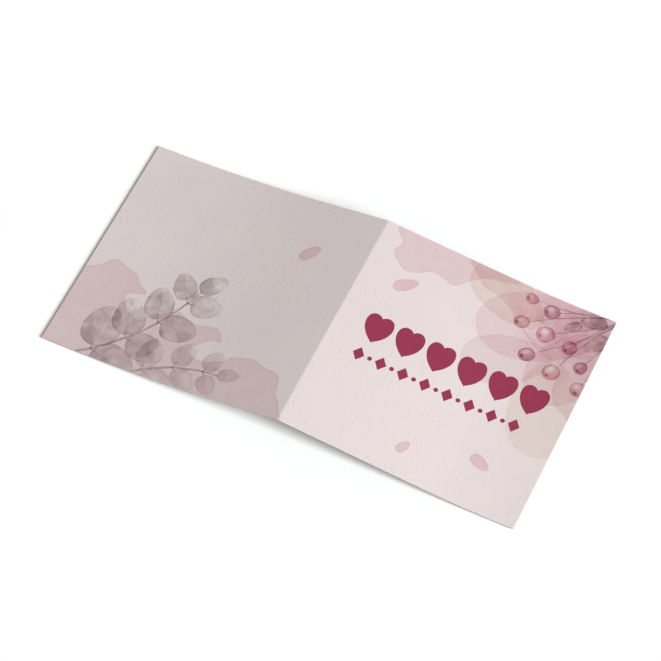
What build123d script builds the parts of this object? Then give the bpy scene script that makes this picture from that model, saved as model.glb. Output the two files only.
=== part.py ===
from build123d import *
import math
import os

# Greeting card, one folded sheet of heavy card, lying open with its cover side up
# It stands as a very low tent: the crease is raised and both free edges lie on the table
# Millimetres: +X from the back leaf to the front leaf, +Y up the cover, +Z up
# The origin is on the table, under the middle of the open card

# Sheet
sheet_thickness = 0.4
fold_length = 134.0
back_span = 134.6
front_span = 129.4

# Lie of the leaves
# Each leaf runs straight down from the crease and bends level towards its free edge
# The knee is where the straight run would meet the table, as a share of the leaf's span
ridge_height = 13.1
back_knee_share = 0.39
front_knee_share = 0.2
# Share of the level length, between knee and free edge, that the soft bend takes up
bow_share = 0.93

# Scored crease
crease_radius = 0.35
groove_width = 0.9
groove_depth = 0.07
bead_width = 1.1
bead_height = 0.1

fold_x = (back_span - front_span) / 2


def slope_angle(span, knee_share):
    """Angle of a leaf's straight run above the table."""
    run = span * (1 - knee_share)
    return math.atan2(ridge_height, run)


def bow_radius(span, knee_share):
    """Radius of the soft bend that turns the straight run level."""
    bend_length = span * knee_share * bow_share
    return bend_length / math.tan(slope_angle(span, knee_share) / 2)


def underside_line():
    """Inner face of the sheet from one free edge over the crease to the other."""
    back_knee = fold_x - back_span * (1 - back_knee_share)
    front_knee = fold_x + front_span * (1 - front_knee_share)
    corners = [
        (fold_x - back_span, 0),
        (back_knee, 0),
        (fold_x, ridge_height),
        (front_knee, 0),
        (fold_x + front_span, 0),
    ]
    radii = [
        bow_radius(back_span, back_knee_share),
        crease_radius,
        bow_radius(front_span, front_knee_share),
    ]
    return FilletPolyline(*corners, radius=radii)


def beside_crease(offset, level):
    """Points on both leaves at a level offset from the crease, at a height above the inner face."""
    points = []
    for side, span, knee_share in ((-1, back_span, back_knee_share), (1, front_span, front_knee_share)):
        angle = slope_angle(span, knee_share)
        height = ridge_height - offset * math.tan(angle) + level / math.cos(angle)
        points.append(Vector(fold_x + side * offset, height))
    return points


def crease_bead():
    """Rounded ridge that the score pushes up on the inside of the fold."""
    back_point, front_point = beside_crease(bead_width / 2, 0)
    middle = (back_point + front_point) / 2
    lowest = middle - Vector(0, bead_height)
    apex = Vector(fold_x, ridge_height + sheet_thickness / 2)
    outline = Polyline(back_point, apex, front_point) + ThreePointArc(front_point, lowest, back_point)
    return make_face(outline)


def crease_groove():
    """Shallow channel that the score leaves on the outside of the fold."""
    back_point, front_point = beside_crease(groove_width / 2, sheet_thickness)
    middle = (back_point + front_point) / 2
    lowest = middle - Vector(0, groove_depth)
    above = Vector(fold_x, ridge_height + sheet_thickness * 2)
    outline = Polyline(back_point, above, front_point) + ThreePointArc(front_point, lowest, back_point)
    return make_face(outline)


def sheet_section():
    """Cut through the card, square to the fold."""
    strip = make_face(offset(underside_line(), amount=sheet_thickness, side=Side.LEFT))
    return strip + crease_bead() - crease_groove()


def folded_card():
    """The whole card, with square trimmed edges."""
    section = Plane.XZ * sheet_section()
    return extrude(section, amount=fold_length / 2, both=True)


os.makedirs("parts", exist_ok=True)
export_step(folded_card(), "parts/folded_card.step")
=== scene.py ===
import math
import random
import bpy
import numpy as np
from mathutils import Matrix, Vector, noise


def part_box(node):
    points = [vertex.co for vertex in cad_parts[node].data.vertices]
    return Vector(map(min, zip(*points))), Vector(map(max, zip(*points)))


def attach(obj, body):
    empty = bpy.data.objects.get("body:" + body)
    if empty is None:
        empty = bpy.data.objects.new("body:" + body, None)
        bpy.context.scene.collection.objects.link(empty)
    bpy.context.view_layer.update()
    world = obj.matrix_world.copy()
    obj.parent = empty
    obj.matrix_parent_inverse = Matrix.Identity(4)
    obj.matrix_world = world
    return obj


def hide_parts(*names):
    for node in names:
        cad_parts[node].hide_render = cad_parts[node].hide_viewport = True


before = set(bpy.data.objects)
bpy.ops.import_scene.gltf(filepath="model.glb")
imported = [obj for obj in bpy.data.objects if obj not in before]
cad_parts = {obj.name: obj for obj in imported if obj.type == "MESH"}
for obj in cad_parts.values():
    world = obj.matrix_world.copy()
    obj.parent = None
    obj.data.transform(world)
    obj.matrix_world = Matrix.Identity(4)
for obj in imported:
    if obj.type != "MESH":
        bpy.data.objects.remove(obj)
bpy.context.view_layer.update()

mm = 0.001
paperIor = 1.5
cardNode = "folded_card"
cardLow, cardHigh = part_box(cardNode)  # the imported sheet's own box sets every overall size
sheetLength = (cardHigh.y - cardLow.y) / mm
sheetWidth = (cardHigh.x - cardLow.x) / mm
print("frame loaded, open card", round(sheetWidth, 1), "x", round(sheetLength, 1), "mm")


def colourOf(hexCode, alpha=1.0):
    # sRGB hex to the linear colour that the shaders use
    linear = []
    for at in (1, 3, 5):
        share = int(hexCode[at:at + 2], 16) / 255
        linear.append(share / 12.92 if share <= 0.04045 else ((share + 0.055) / 1.055) ** 2.4)
    return (*linear, alpha)


def addNode(tree, kind, inputs=None, **settings):
    # one node with its settings and its inputs: plain values, sockets, or nodes for their first output
    node = tree.nodes.new(kind if kind.startswith("Node") else "ShaderNode" + kind)
    for name, value in settings.items():
        setattr(node, name, value)
    for key, value in (inputs or {}).items():
        if isinstance(key, int):
            socket = node.inputs[key]
        else:
            socket = next(s for s in node.inputs if s.name == key and s.enabled)
        if isinstance(value, bpy.types.Node):
            value = next(s for s in value.outputs if s.enabled)
        if isinstance(value, bpy.types.NodeSocket):
            tree.links.new(value, socket)
        else:
            socket.default_value = value
    return node


eased = {"interpolation_type": "SMOOTHSTEP", "clamp": False}  # a soft step from one value to another


def newGroup(name, inputs, outputs):
    # a node group with its sockets, and the node that its inputs come from
    tree = bpy.data.node_groups.new(name, "ShaderNodeTree")
    for socketName, kind, value in inputs:
        socket = tree.interface.new_socket(socketName, in_out="INPUT", socket_type="NodeSocket" + kind)
        if value is not None:
            socket.default_value = value
    for socketName, kind in outputs:
        tree.interface.new_socket(socketName, in_out="OUTPUT", socket_type="NodeSocket" + kind)
    return tree, tree.nodes.new("NodeGroupInput")


# The sheet

sheetShape = {
    "thickness": 0.4,
    "creaseX": 2.6,         # the back leaf is this much wider than half of the open card
    "backKneeShare": 0.39,  # where each straight run would meet the table, as a share from its free edge
    "frontKneeShare": 0.2,
    "bowShare": 0.93,       # share of the length beyond the knee that the soft bend takes up
    "creaseRadius": 0.35,
    "grooveWidth": 0.5,
    "grooveDepth": 0.03,
    "beadWidth": 1.1,
    "beadHeight": 0.1,
    "edgeRounding": 0.07,   # what the guillotine takes off the arris
    "ridgeLoss": 0.0326,    # the crease's rounding and groove keep the top below the mitred corner
    "meshStep": 3.0,
    "creaseStep": 0.15,
    "waveHeight": 0.1,      # how far the card cockles between crease and free edge
    "waveLength": 48.0,
    "calmAboveTable": 3.0,  # the cockle dies out over these distances: above the table,
    "calmByCrease": 25.0,   # from the crease,
    "calmByEnds": 20.0,     # and from the two ends of the fold
    "cornerLift": 0.9,      # the front leaf has warped a little: its far corner is off the table
}


def sectionRuns(shape):
    # the inner face as straight runs and arcs, from the back free edge over the crease to the front one
    half = sheetWidth / 2
    crease = Vector((shape["creaseX"], cardHigh.z / mm - shape["thickness"] + shape["ridgeLoss"]))
    backSpan = half + crease.x
    frontSpan = half - crease.x
    backKnee = Vector((-half + backSpan * shape["backKneeShare"], 0.0))
    frontKnee = Vector((half - frontSpan * shape["frontKneeShare"], 0.0))
    corners = [Vector((-half, 0.0)), backKnee, crease, frontKnee, Vector((half, 0.0))]
    trims = [backSpan * shape["backKneeShare"] * shape["bowShare"], None,
             frontSpan * shape["frontKneeShare"] * shape["bowShare"]]
    runs = []
    start = corners[0]
    for before, corner, after, trim in zip(corners, corners[1:], corners[2:], trims):
        along, onward = (corner - before).normalized(), (after - corner).normalized()
        turn = math.atan2(along.x * onward.y - along.y * onward.x, along.dot(onward))
        if trim is None:
            trim = shape["creaseRadius"] * math.tan(abs(turn) / 2)
        radius = trim / math.tan(abs(turn) / 2)
        bendStart = corner - along * trim
        side = math.copysign(1, turn)
        middle = bendStart + Vector((-along.y, along.x)) * radius * side
        runs.append(("straight", start, along, (bendStart - start).length))
        runs.append(("bend", middle, math.atan2(along.y, along.x), radius * abs(turn), radius, side))
        start = corner + onward * trim
    runs.append(("straight", start, (corners[-1] - start).normalized(), (corners[-1] - start).length))
    return runs


def placeOnSection(runs, distance):
    # point and outward normal at a distance along the inner face
    for run in runs:
        length = run[3]
        if distance <= length or run is runs[-1]:
            break
        distance -= length
    if run[0] == "straight":
        along = run[2]
        return run[1] + along * distance, Vector((-along.y, along.x))
    radius, side = run[4], run[5]
    angle = run[2] + side * distance / radius
    normal = Vector((-math.sin(angle), math.cos(angle)))
    return run[1] - normal * radius * side, normal


def stations(low, high, step, fineAt=None, fineReach=0.0, fineStep=1.0):
    # even places from low to high, closer together round one of them
    count = math.ceil((high - low) / step)
    places = set(np.linspace(low, high, count + 1))
    if fineAt is not None:
        places = {p for p in places if abs(p - fineAt) > fineReach + fineStep}
        fineCount = 2 * math.ceil(fineReach / fineStep)
        places |= set(np.linspace(fineAt - fineReach, fineAt + fineReach, fineCount + 1))
    return sorted(places)


def scoreShape(distance, width, height):
    # cross-section of the groove and of the bead: a smooth hump that ends level
    share = abs(distance) / (width / 2)
    return height * (0.5 + 0.5 * math.cos(math.pi * share)) if share < 1 else 0.0


def layBakeMap(mesh, sheetPlaces, creaseAt, total, rimCount):
    # both faces of the sheet whole and to one scale, and the trimmed edge as strips beside them
    gutter, stripWide = 1.5, 1.6  # mm: a strip is four times the true thickness, so that it isn't lost
    atFreeEdge = 0.5              # mm: an edge face nearer than this to a free edge runs along it
    stripAt = [total + 2 * gutter + n * (stripWide + gutter) for n in range(3)]
    unit = 1 / max(2 * sheetLength + 4 * gutter, stripAt[-1] + stripWide + gutter)
    bakeMap = mesh.uv_layers.new(name="OFBake")
    firstEdge = len(mesh.polygons) - 3 * rimCount
    shares = (0.0, 0.25, 0.75, 1.0)  # across a strip: outer arris, its two roundings, inner arris
    for face in mesh.polygons:
        middle = sum((Vector(sheetPlaces[v]) for v in face.vertices), Vector()) / len(face.vertices)
        band = (face.index - firstEdge) // rimCount
        for n, corner in enumerate(face.loop_indices):
            s, y = sheetPlaces[face.vertices[n]][0] + creaseAt, sheetPlaces[face.vertices[n]][1]
            if face.material_index == 0:
                u, v = s + gutter, y + sheetLength / 2 + sheetLength + 3 * gutter
            elif face.material_index == 1:
                u, v = total - s + gutter, y + sheetLength / 2 + gutter
            else:
                level = shares[band + (1 if n in (1, 2) else 0)] * stripWide
                fromEdge = min(abs(middle.x + creaseAt), abs(total - creaseAt - middle.x))
                if fromEdge < atFreeEdge:
                    below = sheetLength + 3 * gutter if middle.x > 0 else gutter
                    u, v = stripAt[2] + level, y + sheetLength / 2 + below
                else:
                    u, v = stripAt[1 if middle.y > 0 else 0] + level, s + gutter
            bakeMap.data[corner].uv = (u * unit, v * unit)


def buildSheet(shape):
    runs = sectionRuns(shape)
    total = sum(run[3] for run in runs)
    creaseAt = runs[0][3] + runs[1][3] + runs[2][3] + runs[3][3] / 2
    thickness, rounding = shape["thickness"], shape["edgeRounding"]
    halfLength = sheetLength / 2
    across = stations(rounding, total - rounding, shape["meshStep"], creaseAt,
                      shape["beadWidth"] / 2, shape["creaseStep"])
    upward = stations(-halfLength + rounding, halfLength - rounding, shape["meshStep"])

    def place(distance, y, level):
        point, normal = placeOnSection(runs, distance)
        out = point + normal * level
        fromCrease = abs(distance - creaseAt)
        calm = min(1.0, point.y / shape["calmAboveTable"]) * min(1.0, fromCrease / shape["calmByCrease"])
        calm *= min(1.0, (halfLength - abs(y)) / shape["calmByEnds"])
        wave = noise.noise(Vector((distance / shape["waveLength"], y / shape["waveLength"], 0.0)))
        outward = max(distance - creaseAt, 0.0) / (total - creaseAt)
        lift = shape["cornerLift"] * outward ** 2 * (0.5 + y / sheetLength)
        return Vector((out.x, y, out.y + lift + wave * shape["waveHeight"] * calm)) * mm

    vertices, faces, slots, sheetPlaces = [], [], [], []

    def addVertex(distance, y, level, face):
        vertices.append(place(distance, y, level))
        sheetPlaces.append((distance - creaseAt, y, face))
        return len(vertices) - 1

    def grooveAt(distance):
        return scoreShape(distance - creaseAt, shape["grooveWidth"], shape["grooveDepth"])

    def beadAt(distance):
        return scoreShape(distance - creaseAt, shape["beadWidth"], shape["beadHeight"])

    outer, inner = [], []
    for s in across:
        outer.append([addVertex(s, y, thickness - grooveAt(s), 1.0) for y in upward])
        inner.append([addVertex(s, y, -beadAt(s), -1.0) for y in upward])
    last, top = len(across) - 1, len(upward) - 1
    for i in range(last):
        for j in range(top):
            faces.append((outer[i][j], outer[i + 1][j], outer[i + 1][j + 1], outer[i][j + 1]))
            slots.append(0)
            faces.append((inner[i][j], inner[i][j + 1], inner[i + 1][j + 1], inner[i + 1][j]))
            slots.append(1)
    # once round the trimmed edge, against the clock seen from above
    rim = [(i, 0) for i in range(last)] + [(last, j) for j in range(top)]
    rim += [(i, top) for i in range(last, 0, -1)] + [(0, j) for j in range(top, 0, -1)]
    bands = []
    for level, markAt in ((thickness - rounding, grooveAt), (rounding, beadAt)):
        band = []
        for i, j in rim:
            s = 0.0 if i == 0 else total if i == last else across[i]
            y = -halfLength if j == 0 else halfLength if j == top else upward[j]
            band.append(addVertex(s, y, level - markAt(s), 0.0))
        bands.append(band)
    rings = [[outer[i][j] for i, j in rim], *bands, [inner[i][j] for i, j in rim]]
    for upper, lower in zip(rings, rings[1:]):
        for k in range(len(rim)):
            n = (k + 1) % len(rim)
            faces.append((upper[k], lower[k], lower[n], upper[n]))
            slots.append(2)
    mesh = bpy.data.meshes.new("cardSheet")
    mesh.from_pydata(vertices, [], faces)
    # arrises stay crisp: the leaves shade as flat as they are right up to the cut
    arrises = {frozenset((ring[k - 1], ring[k])) for ring in rings for k in range(len(rim))}
    for edge in mesh.edges:
        edge.use_edge_sharp = frozenset(edge.vertices) in arrises
    mesh.polygons.foreach_set("material_index", slots)
    mesh.polygons.foreach_set("use_smooth", [slot < 2 for slot in slots])
    layBakeMap(mesh, sheetPlaces, creaseAt, total, len(rim))
    marks = mesh.attributes.new("sheetPlace", "FLOAT_VECTOR", "POINT")
    marks.data.foreach_set("vector", np.array(sheetPlaces, np.float32).ravel())
    rims = mesh.attributes.new("rimDistance", "FLOAT", "POINT")
    rims.data.foreach_set("value", [min(s + creaseAt, total - creaseAt - s, halfLength - abs(y))
                                    for s, y, face in sheetPlaces])
    mesh.update()
    sheet = bpy.data.objects.new("card_sheet", mesh)
    bpy.context.scene.collection.objects.link(sheet)
    return sheet


# Pattern shapes, each as a depth in millimetres: above zero is inside

leafDrawing = {
    "lean": -0.2,             # how much the widest place moves from the middle towards the stalk
    "fullness": 0.96,
    "midribHalf": (0.4, 0.1),  # mm off the middle line where the midrib's tint starts and is full
    "veinSlant": -0.75,
    "veinCount": 3.6,         # side veins in half a leaf
    "veinHalf": 0.06,         # share of their spacing
    "veinTint": 0.3,
    "sideBlend": 0.06,        # share of the half width over which the darker half turns paler
    # how much each adds to the tint: darker half, place along the leaf, veins, water run back
    "tints": (0.14, -0.2, 0.14, -0.24),
}
stemTaper = 0.6  # a stem's tip is thinner than its foot by this share


def axesGroup(name, extra, outputs):
    # group whose shape is measured along its own two axes: x runs from -1 to 1 along it, y across it
    tree, given = newGroup(name, [
        ("Place", "Vector", None), ("Centre", "Vector", (0, 0, 0)), ("Along Axis", "Vector", (1, 0, 0)),
        ("Across Axis", "Vector", (0, 1, 0)), *extra], outputs)
    offset = addNode(tree, "VectorMath", {0: given.outputs["Place"], 1: given.outputs["Centre"]},
                     operation="SUBTRACT")
    x = addNode(tree, "VectorMath", {0: offset, 1: given.outputs["Along Axis"]}, operation="DOT_PRODUCT")
    y = addNode(tree, "VectorMath", {0: offset, 1: given.outputs["Across Axis"]}, operation="DOT_PRODUCT")
    return tree, given, x, y


def buildPoolGroup():
    # round or oval pool of wash or colour
    tree, given, x, y = axesGroup("colourPool", [("Half", "Float", 1.0)], [("Depth", "Float")])
    x2 = addNode(tree, "Math", {0: x, 1: x}, operation="MULTIPLY")
    square = addNode(tree, "Math", {0: y, 1: y, 2: x2}, operation="MULTIPLY_ADD")
    reach = addNode(tree, "Math", {0: square}, operation="SQRT")
    inside = addNode(tree, "Math", {0: 1.0, 1: reach}, operation="SUBTRACT")
    depth = addNode(tree, "Math", {0: inside, 1: given.outputs["Half"]}, operation="MULTIPLY")
    addNode(tree, "NodeGroupOutput", {"Depth": depth})
    return tree


def buildLeafGroup():
    # one oval leaf, widest nearer its stalk, with a midrib and side veins; Half is its half width
    tree, given, along, y = axesGroup("ovalLeaf", [("Half", "Float", 1.0)], [
        ("Depth", "Float"), ("Veins", "Float"), ("Along", "Float"), ("Side", "Float")])
    across = addNode(tree, "Math", {0: y}, operation="ABSOLUTE")
    square = addNode(tree, "Math", {0: along, 1: along}, operation="MULTIPLY")
    room = addNode(tree, "Math", {0: 1.0, 1: square}, operation="SUBTRACT")
    held = addNode(tree, "Math", {0: room, 1: 0.0}, operation="MAXIMUM")
    oval = addNode(tree, "Math", {0: held}, operation="SQRT")
    lean = addNode(tree, "Math", {0: along, 1: leafDrawing["lean"], 2: leafDrawing["fullness"]},
                   operation="MULTIPLY_ADD")
    breadth = addNode(tree, "Math", {0: oval, 1: lean}, operation="MULTIPLY")
    spare = addNode(tree, "Math", {0: breadth, 1: across}, operation="SUBTRACT")
    beyond = addNode(tree, "Math", {0: square, 1: 1.0}, operation="GREATER_THAN")
    inside = addNode(tree, "Math", {0: spare, 1: beyond}, operation="SUBTRACT")
    depth = addNode(tree, "Math", {0: inside, 1: given.outputs["Half"]}, operation="MULTIPLY")
    offMiddle = addNode(tree, "Math", {0: across, 1: given.outputs["Half"]}, operation="MULTIPLY")
    start, full = leafDrawing["midribHalf"]
    midrib = addNode(tree, "MapRange", {"Value": offMiddle, "From Min": start, "From Max": full}, **eased)
    slant = addNode(tree, "Math", {0: across, 1: leafDrawing["veinSlant"], 2: along},
                    operation="MULTIPLY_ADD")
    spaced = addNode(tree, "Math", {0: slant, 1: leafDrawing["veinCount"]}, operation="MULTIPLY")
    ripple = addNode(tree, "Math", {0: spaced, 1: 0.5}, operation="PINGPONG")
    sideVein = addNode(tree, "MapRange", {"Value": ripple, "From Min": leafDrawing["veinHalf"],
                       "From Max": 0.0, "To Max": leafDrawing["veinTint"]}, **eased)
    veins = addNode(tree, "Math", {0: midrib, 1: sideVein}, operation="MAXIMUM")
    blend = leafDrawing["sideBlend"]
    side = addNode(tree, "MapRange", {"Value": y, "From Min": -blend, "From Max": blend}, **eased)
    addNode(tree, "NodeGroupOutput", {"Depth": depth, "Veins": veins, "Along": along, "Side": side})
    return tree


def buildStemGroup():
    # one bowed stem from its foot: Half is half its thickness there, Bow its height at the middle
    tree, given, share, y = axesGroup("bowedStem", [("Half", "Float", 1.0), ("Bow", "Float", 0.0)],
                                      [("Depth", "Float")])
    left = addNode(tree, "Math", {0: 1.0, 1: share}, operation="SUBTRACT")
    arch = addNode(tree, "Math", {0: share, 1: left}, operation="MULTIPLY")
    lift = addNode(tree, "Math", {0: arch, 1: 4.0}, operation="MULTIPLY")
    middle = addNode(tree, "Math", {0: lift, 1: given.outputs["Bow"]}, operation="MULTIPLY")
    off = addNode(tree, "Math", {0: y, 1: middle}, operation="SUBTRACT")
    away = addNode(tree, "Math", {0: off}, operation="ABSOLUTE")
    taper = addNode(tree, "Math", {0: left, 1: stemTaper, 2: 1 - stemTaper}, operation="MULTIPLY_ADD")
    half = addNode(tree, "Math", {0: taper, 1: given.outputs["Half"]}, operation="MULTIPLY")
    depth = addNode(tree, "Math", {0: half, 1: away}, operation="SUBTRACT")
    farOutside = -999.0  # mm: past its ends the arch is below zero, and there is no stem
    ends = addNode(tree, "Math", {0: arch, 1: 0.0}, operation="LESS_THAN")
    cut = addNode(tree, "Math", {0: ends, 1: farOutside, 2: depth}, operation="MULTIPLY_ADD")
    addNode(tree, "NodeGroupOutput", {"Depth": cut})
    return tree


def buildInkGroup():
    # a layer of thin water-based ink over what is under it: crisp edge, darker rim, uneven grain
    tree, given = newGroup("inkLayer", [
        ("Under", "Color", (1, 1, 1, 1)), ("Ink", "Color", (1, 1, 1, 1)), ("Depth", "Float", 0.0),
        ("Strength", "Float", 1.0), ("Rim", "Float", 0.3), ("Reach", "Float", 0.7), ("Grain", "Float", 0.5),
        ("Soft", "Float", 0.15)], [("Color", "Color")])
    under, ink, depth, strength, rimShare, reach, grain, soft = given.outputs[:8]
    low = addNode(tree, "Math", {0: soft, 1: -1.0}, operation="MULTIPLY")
    cover = addNode(tree, "MapRange", {"Value": depth, "From Min": low, "From Max": soft}, **eased)
    # pigment gathers along the rim as the wash dries
    share = addNode(tree, "Math", {0: depth, 1: reach}, operation="DIVIDE")
    fade = addNode(tree, "Math", {0: share, 1: -1.0}, operation="MULTIPLY")
    gathered = addNode(tree, "Math", {0: math.e, 1: fade}, operation="POWER")
    rim = addNode(tree, "Math", {0: gathered, 1: 1.0}, operation="MINIMUM")
    rimPart = addNode(tree, "Math", {0: rim, 1: rimShare}, operation="MULTIPLY")
    uneven = addNode(tree, "Math", {0: grain, 1: rimPart}, operation="ADD")
    load = addNode(tree, "Math", {0: uneven, 1: strength}, operation="MULTIPLY")
    laden = addNode(tree, "Math", {0: load, 1: cover}, operation="MULTIPLY")
    density = addNode(tree, "Math", {0: laden, 1: 1.0}, operation="MINIMUM")
    laid = addNode(tree, "Mix", {0: density, "A": under, "B": ink}, data_type="RGBA", blend_type="MULTIPLY")
    addNode(tree, "NodeGroupOutput", {"Color": laid})
    return tree


# Material of the outside: heavy uncoated card, offset printed in flat and watery tints.
# It has no gloss, a fine tooth, and tints that gather slightly darker at their rims.

coverPrint = {
    "groundCool": "#D8CCCC",
    "groundWarm": "#DBCFCE",
    "washMauve": "#F1E2E4",
    "blush": "#EED3DA",
    "blushDeep": "#E9C3CE",
    "sand": "#F3ECE2",
    "leafGrey": "#AC9E9E",
    "leafPale": "#C9BABC",
    "leafDark": "#8C7D7B",
    "stem": "#8F7A7F",
    "berry": "#D48FA3",
    "berryDeep": "#BC7C8E",
    "berryCup": "#7C5F6E",
    "raspberry": "#8F2848",
    "raspberryDeep": "#852442",
    "core": "#EDE6E2",
    "roughness": 0.86,
    "cloudSize": 45.0,        # mm: patches where the ground is warmer or cooler
    "lobeSize": 24.0,         # mm: how wide the washes' lobes are, and how far they reach
    "lobeReach": 26.0,
    "trembleSize": 6.0,       # mm: a brush's tremble, and its reach on washes and on drawn shapes
    "washTremble": 2.4,
    "drawnTremble": 1.3,
    "settleSize": 8.0,        # mm: patches where pigment settled
    "washLoad": (0.62, 0.92),  # thinnest and thickest tint in a wash, and in a leaf
    "leafLoad": (0.28, 0.74),
    "bloomSize": 14.0,        # mm: patches where water ran back into the wet tint
    "speckSize": 1.6,         # mm: specks of the stock, and how far they are lighter or darker
    "speckDepth": 0.012,
    "chipReach": 1.0,         # mm from the arris that the chips go, and how large they are
    "chipSize": 0.9,
    "chipStrength": 0.45,
    "heartRow": {"left": 13.5, "right": 118.5, "middle": 4.6, "height": 17.5, "wide": 15.2, "count": 6},
    "lozengeRow": {"left": 13.5, "right": 113.0, "middle": -12.6, "height": 8.2, "wide": 6.4,
                   "count": 8, "dot": 1.25},
}

# centre x and y, half sizes, turn in degrees: pools that run together into one wash
backWash = [(-104, -60, 62, 27, 4), (-120, -30, 25, 20, 62), (-74, -42, 26, 18, 14), (-42, -66, 42, 19, -3),
            (-27, -50, 15, 12, 30)]
backHollows = [(-97, -24, 8, 5, 15), (-50, -43, 9, 6, -20)]
frontWash = [(112, 58, 36, 27, -10), (82, 67, 33, 20, 4), (131, 30, 19, 28, 8)]
frontHollows = [(96, 45, 8, 5, 30)]
foldWash = [(36, 68, 27, 15, 2), (20, 56, 12, 10, 20), (58, 70, 18, 11, -6)]
# pools, hollows, how far the pools run into each other, colour, strength
washes = [(backWash, backHollows, 8.0, "washMauve", 1.0), (frontWash, frontHollows, 8.0, "washMauve", 0.9),
          (foldWash, [], 6.0, "blush", 0.7)]
# centre x and y, half sizes, turn, colour, strength: broad thin shapes laid over each other
broadShapes = [(97, 47, 35, 21, 22, "blush", 0.6), (117, 30, 25, 17, 72, "washMauve", 0.9),
               (74, 56, 24, 14, -22, "sand", 1.0), (121, 56, 21, 15, 40, "blushDeep", 0.4),
               (117, 3, 29, 19, 104, "sand", 0.8), (88, 21, 24, 15, 28, "washMauve", 0.8)]
looseDrops = [(24, 36, 7.0, 3.6, 38), (100, -40, 6.0, 3.4, -24), (-30, 34, 6.5, 3.4, 52),
              (62, -50, 4.2, 2.6, 60)]
# foot, heading in degrees, length, bow, pairs of leaves, leaf size, colour, strength
sprigs = [((-92, -74), 22, 56, 6, 3, 9.5, "leafPale", 0.8),
          ((-125, -73), 51, 84, -8, 4, 13.0, "leafGrey", 0.86)]
sprigHabit = {
    "firstPair": 0.95,         # in leaf spacings from the foot
    "leafAngle": (50, 64),     # degrees off the stem
    "leafStalk": (1.5, 2.5),   # mm
    "leafBreadth": (0.74, 0.86),
    "tintSpread": (0.8, 1.15),
    "tipShrink": 0.5,          # leaves get smaller by this share towards the tip
    "stalkHalf": 0.5, "stemHalf": 0.95,  # mm
    "seed": 7,
}
# a blush deepens towards the corner that the berries hang from: centre, half sizes, turn
cornerBlush = {"centre": (132, 66), "size": (46, 34), "turn": 20, "strength": 0.8, "soft": 16.0}
berryRoot = (134.5, 70)
# heading from the root in degrees, stalk length, berry radius, bow of the stalk
berries = [(191, 47, 3.5, 2.0), (198, 35, 4.5, -1.5), (207, 51, 4.2, -2.5), (217, 39, 5.2, 1.5),
           (227, 53, 4.4, 2.4), (234, 31, 4.3, -1.2), (243, 47, 5.0, -2.2), (254, 35, 3.9, 1.6),
           (262, 46, 4.3, 2.0)]
berryDrawing = {
    "stalkHalf": 0.5,        # mm
    "sink": 0.8,             # share of the radius from the stalk's end to the middle
    "breadth": 0.93,
    "shineAt": (-0.28, 0.3), "shineSize": (0.45, 0.3), "shineTurn": 40,  # in radii, and degrees
    "shineStrength": -0.4,
    "cupAt": 0.6, "cupHalf": (0.75, 1.15),  # in radii, and mm
}
# centre x and y, half sizes, turn
darkLeaves = [(120, 61.5, 7.0, 4.2, 194), (126, 50, 7.5, 4.6, 232), (111, 54.5, 5.0, 3.2, 216)]


class InkPainter:
    # keeps the running colour while shapes are laid over each other
    def __init__(self, tree, place, ground, grain, bloom):
        self.tree, self.place, self.colour, self.grain, self.bloom = tree, place, ground, grain, bloom
        self.groups = {"pool": buildPoolGroup(), "leaf": buildLeafGroup(), "stem": buildStemGroup(),
                       "ink": buildInkGroup()}

    def shape(self, kind, centre, size, turn):
        # a stem's size is its length, half thickness and bow, and any other shape's its two half sizes
        angle = math.radians(turn)
        along = Vector((math.cos(angle), math.sin(angle), 0)) / size[0]
        across = Vector((-math.sin(angle), math.cos(angle), 0)) / (1 if kind == "stem" else size[1])
        values = {"Place": self.place, "Centre": (*centre, 0), "Along Axis": along, "Across Axis": across,
                  "Half": abs(size[1])}
        if kind == "stem":
            values["Bow"] = size[2]
        return addNode(self.tree, "Group", values, node_tree=self.groups[kind])

    def union(self, shapes, smooth):
        joined = shapes[0]
        for shape in shapes[1:]:
            joined = addNode(self.tree, "Math", {0: joined, 1: shape, 2: smooth}, operation="SMOOTH_MAX")
        return joined

    def ink(self, depth, name, strength=1.0, rim=0.3, grain=None, soft=0.15, reach=0.7):
        self.colour = addNode(self.tree, "Group", {
            "Under": self.colour, "Ink": colourOf(coverPrint[name]), "Depth": depth, "Strength": strength,
            "Rim": rim, "Grain": grain or self.grain, "Soft": soft, "Reach": reach},
            node_tree=self.groups["ink"])


def paintWash(painter, pools, hollows, smooth, name, strength):
    # pools joined into one wash, with dry hollows left out of it
    parts = [painter.shape("pool", (x, y), (a, b), turn) for x, y, a, b, turn in pools]
    joined = painter.union(parts, smooth)
    for x, y, a, b, turn in hollows:
        hollow = painter.shape("pool", (x, y), (a, b), turn)
        dry = addNode(painter.tree, "Math", {0: hollow, 1: -1.0}, operation="MULTIPLY")
        joined = addNode(painter.tree, "Math", {0: joined, 1: dry}, operation="MINIMUM")
    painter.ink(joined, name, strength=strength, soft=0.25, reach=1.3)


def paintLeaf(painter, centre, size, turn, name, strength):
    # one half darker than the other, pigment gathered towards the stalk, and paler where water ran back
    leaf = painter.shape("leaf", centre, size, turn)
    grain = painter.grain
    parts = leaf.outputs["Side"], leaf.outputs["Along"], leaf.outputs["Veins"], painter.bloom
    for value, weight in zip(parts, leafDrawing["tints"]):
        grain = addNode(painter.tree, "Math", {0: value, 1: weight, 2: grain}, operation="MULTIPLY_ADD")
    painter.ink(leaf.outputs["Depth"], name, strength=strength, grain=grain)


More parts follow.
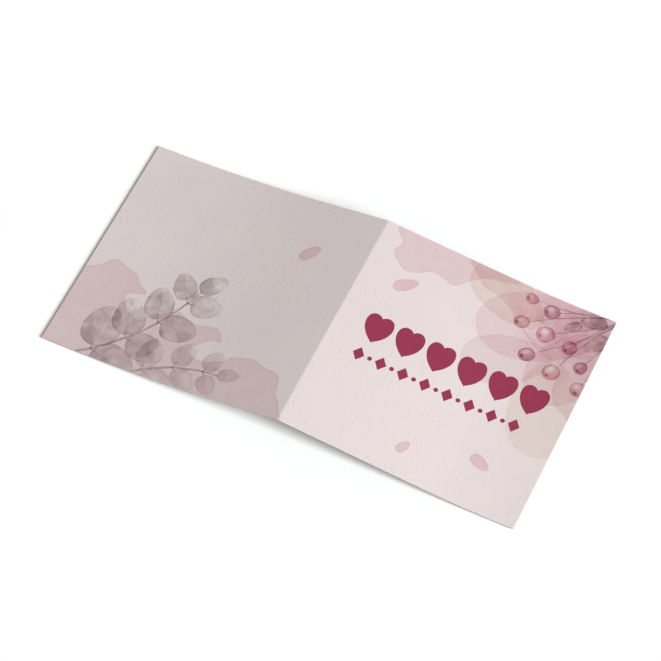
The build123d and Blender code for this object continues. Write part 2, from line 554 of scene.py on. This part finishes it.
def paintSprig(painter, rng, foot, turn, length, bow, pairs, leafSize, name, strength):
    # a stem with round leaves in pairs, smaller towards its tip
    habit = sprigHabit
    heading = math.radians(turn)
    ahead = Vector((math.cos(heading), math.sin(heading)))
    aside = Vector((-ahead.y, ahead.x))
    for pair in range(pairs):
        share = (pair + habit["firstPair"]) / (pairs + 0.5)
        joint = Vector(foot) + ahead * length * share + aside * 4 * bow * share * (1 - share)
        slope = heading + math.atan(4 * bow * (1 - 2 * share) / length)
        size = leafSize * (1.1 - habit["tipShrink"] * share)
        for side in (-1, 1):
            away = slope + math.radians(rng.uniform(*habit["leafAngle"])) * side
            reach = size + rng.uniform(*habit["leafStalk"])
            outward = Vector((math.cos(away), math.sin(away)))
            breadth = size * rng.uniform(*habit["leafBreadth"]) * side
            paintLeaf(painter, joint + outward * reach, (size, breadth), math.degrees(away), name,
                      strength * rng.uniform(*habit["tintSpread"]))
            stalk = reach - size + 2.0, habit["stalkHalf"], 0.0
            painter.ink(painter.shape("stem", joint, stalk, math.degrees(away)), "stem",
                        strength=strength * 0.8, rim=0.2)
    # the last leaf stands at the tip, a little off the stem's heading
    tip = Vector(foot) + ahead * (length + leafSize * 0.5)
    paintLeaf(painter, tip, (leafSize * 0.6, leafSize * 0.44), turn - 6, name, strength)
    painter.ink(painter.shape("stem", foot, (length, habit["stemHalf"], bow), turn), "stem",
                strength=strength, rim=0.2)


def paintBerry(painter, turn, length, radius, bow, name):
    # a round berry on a thin stalk, paler where it catches the light, with a dark cup at its end
    drawing = berryDrawing
    heading = math.radians(turn)
    outward = Vector((math.cos(heading), math.sin(heading)))
    stalk = painter.shape("stem", berryRoot, (length, drawing["stalkHalf"], bow), turn)
    painter.ink(stalk, "stem", strength=0.9, rim=0.15)
    centre = Vector(berryRoot) + outward * (length + radius * drawing["sink"])
    berry = painter.shape("pool", centre, (radius, radius * drawing["breadth"]), turn)
    shineSize = [radius * share for share in drawing["shineSize"]]
    shine = painter.shape("pool", centre + Vector(drawing["shineAt"]) * radius, shineSize,
                          drawing["shineTurn"])
    lit = addNode(painter.tree, "MapRange", {"Value": shine, "From Min": -0.9, "From Max": 0.9}, **eased)
    grain = addNode(painter.tree, "Math", {0: lit, 1: drawing["shineStrength"], 2: painter.grain},
                    operation="MULTIPLY_ADD")
    painter.ink(berry, name, rim=0.4, grain=grain, reach=1.4)
    cup = painter.shape("pool", centre + outward * radius * drawing["cupAt"], drawing["cupHalf"], turn)
    painter.ink(cup, "berryCup", strength=1.1, rim=0.2)


def rowCells(tree, place, row, shift=0.0, spare=0):
    # local place inside the cells of an even row, and whether the cell is in the row
    pitch = (row["right"] - row["left"]) / row["count"]
    left, right = row["left"] + shift * pitch, row["right"] + (shift - spare) * pitch
    alongRow, upRow = [addNode(tree, "VectorMath", {0: place, 1: axis}, operation="DOT_PRODUCT")
                       for axis in ((1, 0, 0), (0, 1, 0))]
    fromLeft = addNode(tree, "Math", {0: alongRow, 1: left}, operation="SUBTRACT")
    inCell = addNode(tree, "Math", {0: fromLeft, 1: pitch, 2: 0.0}, operation="WRAP")
    x = addNode(tree, "Math", {0: inCell, 1: pitch / 2}, operation="SUBTRACT")
    y = addNode(tree, "Math", {0: upRow, 1: row["middle"]}, operation="SUBTRACT")
    inRow = addNode(tree, "Math", {0: alongRow, 1: (left + right) / 2, 2: (right - left) / 2},
                    operation="COMPARE")
    return x, y, inRow


def heartMask(tree, place, row):
    # hearts as the sextic curve (x2 + y2 - 1)^3 = x2 y3, scaled to the row's height and width
    curveHeight, curveWidth, curveMiddle = 2.25, 2.28, 0.11  # the curve's own size
    x, y, inRow = rowCells(tree, place, row)
    sx = addNode(tree, "Math", {0: x, 1: row["wide"] / curveWidth}, operation="DIVIDE")
    syRaw = addNode(tree, "Math", {0: y, 1: row["height"] / curveHeight}, operation="DIVIDE")
    sy = addNode(tree, "Math", {0: syRaw, 1: curveMiddle}, operation="ADD")
    x2 = addNode(tree, "Math", {0: sx, 1: sx}, operation="MULTIPLY")
    y2 = addNode(tree, "Math", {0: sy, 1: sy}, operation="MULTIPLY")
    y3 = addNode(tree, "Math", {0: y2, 1: sy}, operation="MULTIPLY")
    ring = addNode(tree, "Math", {0: x2, 1: y2}, operation="ADD")
    less = addNode(tree, "Math", {0: ring, 1: 1.0}, operation="SUBTRACT")
    less2 = addNode(tree, "Math", {0: less, 1: less}, operation="MULTIPLY")
    less3 = addNode(tree, "Math", {0: less2, 1: less}, operation="MULTIPLY")
    notch = addNode(tree, "Math", {0: x2, 1: y3}, operation="MULTIPLY")
    inside = addNode(tree, "Math", {0: less3, 1: notch}, operation="LESS_THAN")
    return addNode(tree, "Math", {0: inside, 1: inRow}, operation="MULTIPLY")


def lozengeMask(tree, place, row):
    # lozenges, with a round dot between each two
    x, y, inRow = rowCells(tree, place, row)
    ax = addNode(tree, "Math", {0: x}, operation="ABSOLUTE")
    ay = addNode(tree, "Math", {0: y}, operation="ABSOLUTE")
    dx = addNode(tree, "Math", {0: ax, 1: row["wide"] / 2}, operation="DIVIDE")
    dy = addNode(tree, "Math", {0: ay, 1: row["height"] / 2}, operation="DIVIDE")
    both = addNode(tree, "Math", {0: dx, 1: dy}, operation="ADD")
    inside = addNode(tree, "Math", {0: both, 1: 1.0}, operation="LESS_THAN")
    lozenges = addNode(tree, "Math", {0: inside, 1: inRow}, operation="MULTIPLY")
    x, y, inRow = rowCells(tree, place, row, 0.5, 1)
    offset = addNode(tree, "CombineXYZ", {"X": x, "Y": y})
    away = addNode(tree, "VectorMath", {0: offset}, operation="LENGTH")
    near = addNode(tree, "Math", {0: away, 1: row["dot"]}, operation="LESS_THAN")
    dots = addNode(tree, "Math", {0: near, 1: inRow}, operation="MULTIPLY")
    return addNode(tree, "Math", {0: lozenges, 1: dots}, operation="MAXIMUM")


def newMaterial(name):
    material = bpy.data.materials.new(name)
    material.use_nodes = True
    tree = material.node_tree
    tree.nodes.clear()
    return material, tree


def finishCard(tree, values):
    # any face of the card: dull paper in its own colour
    shader = addNode(tree, "BsdfPrincipled", {"IOR": paperIor, **values})
    addNode(tree, "OutputMaterial", {"Surface": shader})


# Felt marks of the paper machine are about 0.6 mm apart in truth, and drawn at 0.9 mm so that they show.
# Loose fibres are a tenth of a millimetre wide in truth, and drawn 0.7 mm wide and 3 mm long.
cardSurface = {
    "feltSpacing": 0.9,
    "unevenSpacing": 3.5,
    "fibreWidth": 1.6, "fibreLength": 7.0,  # mm: one cell for each fibre
    "fibreCore": (0.34, 0.1),    # share of the cell where a fibre's flank starts and its top is
    "fibreTurn": -26.0,          # degrees off the fold: the grain of the stock
    "fibreCurl": 2.0, "curlSize": 2.6,
    "fibreRarity": 0.72,         # share of the cells that stay empty
    "patchSize": 26.0,           # fibres come in patches
    "fibreHeight": 5.0,          # in depths of the tooth
    "printedDepth": 0.012,       # mm: the press has calmed the tooth of the printed side
    "plainDepth": 0.014,
}


def cardTooth(tree, place, depth):
    surface = cardSurface
    fine = addNode(tree, "TexNoise", {"Vector": place, "Scale": 1 / surface["feltSpacing"], "Detail": 2.0,
                   "Roughness": 0.6})
    broad = addNode(tree, "TexNoise", {"Vector": place, "Scale": 1 / surface["unevenSpacing"],
                    "Detail": 1.0})
    both = addNode(tree, "Math", {0: broad, 1: 0.8, 2: fine}, operation="MULTIPLY_ADD")
    curled = addNode(tree, "TexNoise", {"Vector": place, "Scale": 1 / surface["curlSize"], "Detail": 0.0})
    bent = addNode(tree, "VectorMath", {0: curled.outputs["Color"], 1: (surface["fibreCurl"], 0, 0),
                   2: place}, operation="MULTIPLY_ADD")
    leaning = addNode(tree, "Mapping", {
        "Vector": bent, "Rotation": (0, 0, math.radians(surface["fibreTurn"])),
        "Scale": (1 / surface["fibreWidth"], 1 / surface["fibreLength"], 0)})
    cells = addNode(tree, "TexVoronoi", {"Vector": leaning, "Scale": 1.0}, feature="F1",
                    voronoi_dimensions="2D")
    flank, top = surface["fibreCore"]
    near = addNode(tree, "MapRange", {"Value": cells.outputs["Distance"], "From Min": flank,
                   "From Max": top}, **eased)
    lots = addNode(tree, "SeparateXYZ", {"Vector": cells.outputs["Color"]})
    kept = addNode(tree, "Math", {0: lots.outputs["X"], 1: surface["fibreRarity"]},
                   operation="GREATER_THAN")
    patches = addNode(tree, "TexNoise", {"Vector": place, "Scale": 1 / surface["patchSize"], "Detail": 1.0})
    loose = addNode(tree, "MapRange", {"Value": patches, "From Min": 0.44, "From Max": 0.56})
    chosen = addNode(tree, "Math", {0: kept, 1: loose}, operation="MULTIPLY")
    fibre = addNode(tree, "Math", {0: near, 1: chosen}, operation="MULTIPLY")
    height = addNode(tree, "Math", {0: fibre, 1: surface["fibreHeight"], 2: both}, operation="MULTIPLY_ADD")
    return addNode(tree, "Bump", {"Height": height, "Strength": 1.0, "Distance": depth * mm}), fibre


def driftingTint(tree, place, size, detail, roughness, shade, light):
    # patches of about this size where the card is a little more of one tint or of the other
    patches = addNode(tree, "TexNoise", {"Vector": place, "Scale": 1 / size, "Detail": detail,
                      "Roughness": roughness})
    drift = addNode(tree, "MapRange", {"Value": patches, "From Min": 0.3, "From Max": 0.7})
    return addNode(tree, "Mix", {0: drift, "A": colourOf(shade), "B": colourOf(light)}, data_type="RGBA")


def movedPlace(tree, place, wander, reach):
    # a place shifted by a noise's colour, by up to half of the reach to each side
    centred = addNode(tree, "VectorMath", {0: wander.outputs["Color"], 1: (0.5, 0.5, 0.5)},
                      operation="SUBTRACT")
    shift = addNode(tree, "VectorMath", {0: centred, "Scale": reach}, operation="SCALE")
    return addNode(tree, "VectorMath", {0: place, 1: shift}, operation="ADD")


def makeCoverMaterial():
    look = coverPrint
    material, tree = newMaterial("printedUncoatedCard")
    place = addNode(tree, "Attribute", attribute_name="sheetPlace").outputs["Vector"]
    ground = driftingTint(tree, place, look["cloudSize"], 2.0, 0.5, look["groundCool"], look["groundWarm"])
    # hand-painted shapes wander off their drawn outlines: the washes far and in round lobes
    lobes = addNode(tree, "TexNoise", {"Vector": place, "Scale": 1 / look["lobeSize"], "Detail": 0.8,
                    "Roughness": 0.4})
    tremble = addNode(tree, "TexNoise", {"Vector": place, "Scale": 1 / look["trembleSize"]})
    washPlace = movedPlace(tree, movedPlace(tree, place, lobes, look["lobeReach"]), tremble,
                           look["washTremble"])
    drawnPlace = movedPlace(tree, place, tremble, look["drawnTremble"])
    # pigment settles unevenly, in patches some millimetres wide, and water runs back into it
    settle = addNode(tree, "TexNoise", {"Vector": place, "Scale": 1 / look["settleSize"], "Detail": 4.0,
                     "Roughness": 0.62})
    washGrain = addNode(tree, "MapRange", {"Value": settle, "From Min": 0.25, "From Max": 0.75,
                        "To Min": look["washLoad"][0], "To Max": look["washLoad"][1]})
    leafGrain = addNode(tree, "MapRange", {"Value": settle, "From Min": 0.32, "From Max": 0.68,
                        "To Min": look["leafLoad"][0], "To Max": look["leafLoad"][1]})
    backrun = addNode(tree, "TexNoise", {"Vector": place, "Scale": 1 / look["bloomSize"], "Detail": 1.5})
    bloom = addNode(tree, "MapRange", {"Value": backrun, "From Min": 0.5, "From Max": 0.53}, **eased)
    painter = InkPainter(tree, washPlace, ground, washGrain, bloom)
    for wash in washes:
        paintWash(painter, *wash)
    painter.place = drawnPlace
    for x, y, a, b, turn, name, strength in broadShapes:
        broad = painter.shape("leaf", (x, y), (a, b), turn)
        painter.ink(broad.outputs["Depth"], name, strength=strength, rim=0.22, reach=0.9)
    for x, y, a, b, turn in looseDrops:
        drop = painter.shape("leaf", (x, y), (a, b), turn)
        painter.ink(drop.outputs["Depth"], "blush", rim=0.25)
    painter.grain = leafGrain
    rng = random.Random(sprigHabit["seed"])
    for sprig in sprigs:
        paintSprig(painter, rng, *sprig)
    corner = painter.shape("pool", cornerBlush["centre"], cornerBlush["size"], cornerBlush["turn"])
    painter.ink(corner, "blushDeep", strength=cornerBlush["strength"], rim=0.0, soft=cornerBlush["soft"])
    for x, y, a, b, turn in darkLeaves:
        paintLeaf(painter, (x, y), (a, b), turn, "leafDark", 0.9)
    for count, berry in enumerate(berries):  # every third one is deeper
        paintBerry(painter, *berry, "berryDeep" if count % 3 == 1 else "berry")
    # the bold rows are one spot colour, a little uneven, with crisp edges
    hearts = heartMask(tree, place, look["heartRow"])
    lozenges = lozengeMask(tree, place, look["lozengeRow"])
    bold = addNode(tree, "Math", {0: hearts, 1: lozenges}, operation="MAXIMUM")
    inked = addNode(tree, "Mix", {0: leafGrain, "A": colourOf(look["raspberry"]),
                    "B": colourOf(look["raspberryDeep"])}, data_type="RGBA")
    printed = addNode(tree, "Mix", {0: bold, "A": painter.colour, "B": inked}, data_type="RGBA")
    # the cut has chipped the print off the arris here and there, and the pale core shows in specks
    fromRim = addNode(tree, "Attribute", attribute_name="rimDistance").outputs["Fac"]
    nearRim = addNode(tree, "MapRange", {"Value": fromRim, "From Min": look["chipReach"],
                      "From Max": 0.1}, **eased)
    chips = addNode(tree, "TexNoise", {"Vector": place, "Scale": 1 / look["chipSize"], "Detail": 1.0,
                    "Roughness": 0.4})
    chipped = addNode(tree, "MapRange", {"Value": chips, "From Min": 0.62, "From Max": 0.68,
                      "To Max": look["chipStrength"]}, **eased)
    worn = addNode(tree, "Math", {0: nearRim, 1: chipped}, operation="MULTIPLY")
    colour = addNode(tree, "Mix", {0: worn, "A": printed, "B": colourOf(look["core"])}, data_type="RGBA")
    # the tooth of the card leaves specks of every tint slightly lighter or darker
    tooth, fibre = cardTooth(tree, place, cardSurface["printedDepth"])
    mottle = addNode(tree, "TexNoise", {"Vector": place, "Scale": 1 / look["speckSize"], "Detail": 3.0,
                     "Roughness": 0.65})
    speck = addNode(tree, "MapRange", {"Value": mottle, "From Min": 0.3, "From Max": 0.7,
                    "To Min": 1 - look["speckDepth"], "To Max": 1 + look["speckDepth"]})
    tinted = addNode(tree, "Math", {0: fibre, 1: -0.02, 2: speck}, operation="MULTIPLY_ADD")
    speckled = addNode(tree, "VectorMath", {0: colour, "Scale": tinted}, operation="SCALE")
    finishCard(tree, {"Base Color": speckled, "Roughness": look["roughness"], "Normal": tooth})
    return material


# Material of the inside: the same card with no print, a warm white with faint fibres

plainInside = {"shade": "#EBE6E1", "light": "#F3EFEB", "mottleSize": 1.8, "roughness": 0.9}


def makeInsideMaterial():
    material, tree = newMaterial("plainUncoatedCard")
    place = addNode(tree, "Attribute", attribute_name="sheetPlace").outputs["Vector"]
    colour = driftingTint(tree, place, plainInside["mottleSize"], 4.0, 0.65, plainInside["shade"],
                          plainInside["light"])
    tooth = cardTooth(tree, place, cardSurface["plainDepth"])[0]
    finishCard(tree, {"Base Color": colour, "Roughness": plainInside["roughness"], "Normal": tooth})
    return material


# Material of the trimmed edge: the core of the board, cut by a guillotine.
# Its pale core is painted greyer than the face, as painted shade of the edge, with fibres along the cut.

# painted shade: both tints are the pale core darkened to the grey of an edge in shade
cutEdgePaintedShade = {"shade": "#AFA8A4", "light": "#C6BFBA", "fibreSize": 0.8, "roughness": 0.95}


def makePaintedShadeEdgeMaterial():
    material, tree = newMaterial("trimmedCardCorePaintedShade")
    place = addNode(tree, "Attribute", attribute_name="sheetPlace").outputs["Vector"]
    # the edge's colour carries painted shade, and drifts between two greys along the fibres
    colour = driftingTint(tree, place, cutEdgePaintedShade["fibreSize"], 3.0, 0.5, cutEdgePaintedShade["shade"], cutEdgePaintedShade["light"])
    finishCard(tree, {"Base Color": colour, "Roughness": cutEdgePaintedShade["roughness"]})
    return material


sheet = buildSheet(sheetShape)
print("sheet built,", len(sheet.data.polygons), "faces")
for material in (makeCoverMaterial(), makeInsideMaterial(), makePaintedShadeEdgeMaterial()):
    sheet.data.materials.append(material)
print("materials made:", ", ".join(material.name for material in sheet.data.materials))
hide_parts(cardNode)
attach(sheet, "root")

# Stage: table, sky and one soft lamp from the right and a little behind

stage = {
    "floorSize": 6.0,       # m
    "gap": 1.0,             # mm of air under the edges, as card never lies quite flat
    "floorColour": "#FFFFFF",
    "floorBounce": 0.5,     # share of the light that the floor throws back onto the card
    "floorLift": 0.08,      # what camera rays see on top of the lit floor, so that it shows white
    "fadeFrom": 14.0,       # mm from the card where the floor starts to fade into the white backdrop
    "fadeTo": 60.0,
    "skyStrength": 0.26,
    "skyColour": "#FFFCF5",  # shadows in the photo are faintly warm
    "lampTurn": -14.5,      # degrees from +X towards +Y
    "lampHeight": 34.0,     # degrees above the table
    "lampDistance": 3.6,    # m, as are the lamp's two sizes
    "lampWidth": 1.6,
    "lampTall": 2.0,
    "lampWatts": 184.0,
    "lampShare": 0.72,      # how bright white shows at the middle of the table under the lamp alone
    "lampColour": "#FBFDFF",
}


def lampDirection():
    turn, height = math.radians(stage["lampTurn"]), math.radians(stage["lampHeight"])
    return Vector((math.cos(height) * math.cos(turn), math.cos(height) * math.sin(turn), math.sin(height)))


def buildFloor():
    half = stage["floorSize"] / 2
    mesh = bpy.data.meshes.new("table")
    below = -stage["gap"] * mm
    corners = [(-half, -half, below), (half, -half, below), (half, half, below), (-half, half, below)]
    mesh.from_pydata(corners, [], [(0, 1, 2, 3)])
    material, tree = newMaterial("whiteTable")
    path = addNode(tree, "LightPath")
    place = addNode(tree, "NewGeometry").outputs["Position"]
    # the lamp's light falls off across the table, and its white makes up for that, as the camera sees it
    lampPlace = lampDirection() * stage["lampDistance"]
    reach = addNode(tree, "VectorMath", {0: place, 1: lampPlace}, operation="DISTANCE")
    nearness = addNode(tree, "Math", {0: stage["lampDistance"], 1: reach}, operation="DIVIDE")
    falloff = addNode(tree, "Math", {0: nearness, 1: 3.0}, operation="POWER")  # inverse square, and slant
    lit = addNode(tree, "Math", {0: falloff, 1: stage["lampShare"], 2: stage["skyStrength"]},
                  operation="MULTIPLY_ADD")
    evened = addNode(tree, "Math", {0: 1 - stage["floorLift"], 1: lit}, operation="DIVIDE")
    plain = addNode(tree, "Math", {0: evened, 1: 1.0}, operation="MINIMUM")
    white = addNode(tree, "VectorMath", {0: colourOf(stage["floorColour"])[:3], "Scale": plain},
                    operation="SCALE")
    dull = [stage["floorBounce"]] * 3 + [1.0]
    colour = addNode(tree, "Mix", {0: path.outputs["Is Camera Ray"], "A": dull, "B": white},
                     data_type="RGBA")
    diffuse = addNode(tree, "BsdfDiffuse", {"Color": colour})
    seen = addNode(tree, "Math", {0: path.outputs["Is Camera Ray"], 1: path.outputs["Is Glossy Ray"]},
                   operation="MAXIMUM")
    lift = addNode(tree, "Math", {0: seen, 1: stage["floorLift"]}, operation="MULTIPLY")
    glow = addNode(tree, "Emission", {"Strength": lift})
    both = addNode(tree, "AddShader", {0: diffuse, 1: glow})
    # a seamless backdrop: away from the card, camera rays see plain white in place of the floor
    mirrored = addNode(tree, "VectorMath", {0: place}, operation="ABSOLUTE")
    outward = addNode(tree, "VectorMath", {0: mirrored, 1: cardHigh}, operation="SUBTRACT")
    outside = addNode(tree, "VectorMath", {0: outward, 1: (0.0, 0.0, 0.0)}, operation="MAXIMUM")
    distance = addNode(tree, "VectorMath", {0: outside}, operation="LENGTH")
    fade = addNode(tree, "MapRange", {"Value": distance, "From Min": stage["fadeFrom"] * mm,
                   "From Max": stage["fadeTo"] * mm}, interpolation_type="SMOOTHSTEP")
    faded = addNode(tree, "Math", {0: fade, 1: seen}, operation="MULTIPLY")
    backdrop = addNode(tree, "Emission", {"Strength": 1.0})
    surface = addNode(tree, "MixShader", {0: faded, 1: both, 2: backdrop})
    addNode(tree, "OutputMaterial", {"Surface": surface})
    mesh.materials.append(material)
    floor = bpy.data.objects.new("table_top", mesh)
    bpy.context.scene.collection.objects.link(floor)


def buildSky():
    world = bpy.data.worlds.new("softStudio")
    world.use_nodes = True
    tree = world.node_tree
    tree.nodes.clear()
    path = addNode(tree, "LightPath")
    seen = addNode(tree, "Math", {0: path.outputs["Is Camera Ray"], 1: path.outputs["Is Glossy Ray"]},
                   operation="MAXIMUM")
    strength = addNode(tree, "MapRange", {"Value": seen, "To Min": stage["skyStrength"], "To Max": 1.0})
    colour = addNode(tree, "Mix", {0: seen, "A": colourOf(stage["skyColour"]), "B": (1, 1, 1, 1)},
                     data_type="RGBA")
    background = addNode(tree, "Background", {"Color": colour, "Strength": strength})
    addNode(tree, "OutputWorld", {"Surface": background})
    bpy.context.scene.world = world


def buildLamp():
    towards = lampDirection()
    light = bpy.data.lights.new("softBox", "AREA")
    light.shape = "ELLIPSE"
    light.size, light.size_y = stage["lampWidth"], stage["lampTall"]
    light.energy = stage["lampWatts"]
    light.color = colourOf(stage["lampColour"])[:3]
    lamp = bpy.data.objects.new("softBox", light)
    lamp.location = towards * stage["lampDistance"]
    lamp.rotation_euler = towards.to_track_quat("Z", "Y").to_euler()
    bpy.context.scene.collection.objects.link(lamp)


camera = {
    "turn": 25.027, "height": 57.308, "roll": 0.201,  # degrees
    "distance": 1670.24, "right": 0.512, "up": 0.063,  # mm: where the view's middle passes the origin
    "focalPixels": 3245.4, "imagePixels": 661,
    "sensorWidth": 36.0,  # mm
    "nearest": 0.05, "furthest": 50.0,  # m
}


def buildCamera():
    turn, height = math.radians(camera["turn"]), math.radians(camera["height"])
    back = Vector((math.sin(turn) * math.cos(height), -math.cos(turn) * math.cos(height), math.sin(height)))
    right = Vector((math.cos(turn), math.sin(turn), 0.0))
    up = back.cross(right)
    view = Matrix((right, up, back)).transposed() @ Matrix.Rotation(math.radians(camera["roll"]), 3, "Z")
    data = bpy.data.cameras.new("photoView")
    data.sensor_width = camera["sensorWidth"]
    data.lens = camera["focalPixels"] * data.sensor_width / camera["imagePixels"]
    data.clip_start, data.clip_end = camera["nearest"], camera["furthest"]
    eye = bpy.data.objects.new("photoView", data)
    eye.location = view @ Vector((camera["right"], camera["up"], camera["distance"])) * mm
    eye.rotation_euler = view.to_euler()
    bpy.context.scene.collection.objects.link(eye)
    bpy.context.scene.camera = eye


buildFloor()
buildSky()
buildLamp()
buildCamera()
bpy.context.scene.view_settings.view_transform = "Standard"
print("stage, lamp and camera placed")
